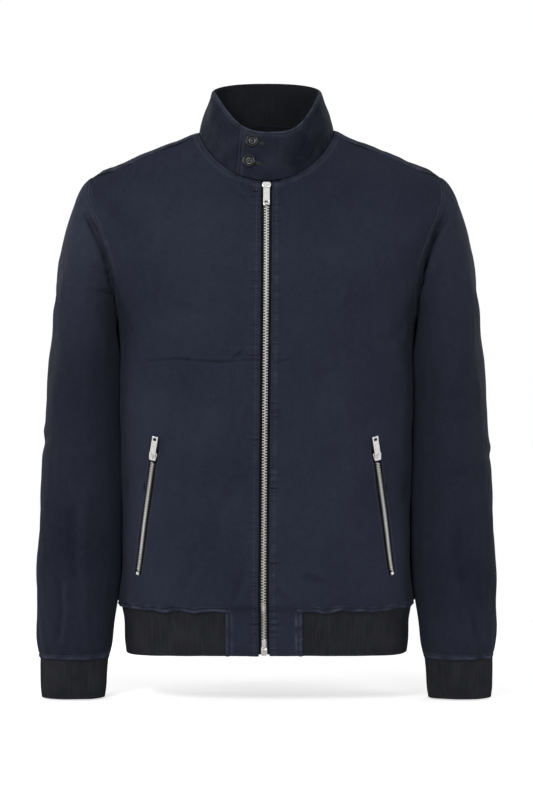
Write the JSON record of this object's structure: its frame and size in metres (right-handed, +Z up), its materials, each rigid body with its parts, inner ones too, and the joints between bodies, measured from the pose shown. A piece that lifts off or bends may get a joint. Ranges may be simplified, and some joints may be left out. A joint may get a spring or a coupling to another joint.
{
  "type": "bomber jacket",
  "caption": "Navy zip-up bomber jacket in cotton twill with a buttoned stand collar, slanted zip pockets, and ribbed hem and cuffs, filled out as worn.",
  "frame": {"origin": "midway between the two points where the shoulders meet the neck, at the height where a wearer or hanger carries the jacket", "axes": "+Z up along the jacket's length, -Y towards its front, +X towards the wearer's left"},
  "size_m": [0.579, 0.2452, 0.7765],
  "materials": {
    "shell_twill": "navy cotton twill, washed, matt, with a faint diagonal rib, topstitched at its seams",
    "rib_knit": "near-black fine rib knit, matt",
    "collar_knit": "near-black fine rib knit on the inside of the collar, matt",
    "zip_tape": "black woven zip tape",
    "zip_teeth": "grey metal zip teeth, slightly warm, satin",
    "zip_metal": "bright nickel on the sliders, pull tabs, box and stops",
    "button": "dark grey horn-look plastic, polished"
  },
  "bodies": {
    "jacket": {"back": "shell_twill", "button_lower": "button", "button_upper": "button", "collar": "shell_twill", "collar_lining": "collar_knit", "cuff_left": "rib_knit", "cuff_right": "rib_knit", "front_left": "shell_twill", "front_right": "shell_twill", "hem_rib": "rib_knit", "pocket_chain_left": "zip_teeth", "pocket_chain_right": "zip_teeth", "pocket_slider_left": "zip_metal", "pocket_slider_right": "zip_metal", "pocket_stop_left": "zip_metal", "pocket_stop_right": "zip_metal", "pocket_tape_left": "zip_tape", "pocket_tape_right": "zip_tape", "sleeve_left": "shell_twill", "sleeve_right": "shell_twill", "zip_box": "zip_metal", "zip_chain": "zip_teeth", "zip_slider": "zip_metal", "zip_tape_left": "zip_tape", "zip_tape_right": "zip_tape"},
    "zip_pull": {"zip_pull": "zip_metal"},
    "pocket_pull_left": {"pocket_pull_left": "zip_metal"},
    "pocket_pull_right": {"pocket_pull_right": "zip_metal"}
  },
  "joints": [
    {"name": "zip_pull_hinge", "type": "hinge", "parent": "jacket", "child": "zip_pull", "pos_m": [0.00001, -0.08791, -0.07146], "axis": [-1, -0.0025, 0.0011], "range_deg": [0, 150]},
    {"name": "pocket_pull_right_hinge", "type": "hinge", "parent": "jacket", "child": "pocket_pull_right", "pos_m": [-0.14095, -0.10617, -0.40741], "axis": [0.878, -0.4422, -0.1832], "range_deg": [0, 170]},
    {"name": "pocket_pull_left_hinge", "type": "hinge", "parent": "jacket", "child": "pocket_pull_left", "pos_m": [0.13748, -0.10619, -0.40743], "axis": [0.8854, 0.4299, 0.177], "range_deg": [0, 170]}
  ]
}
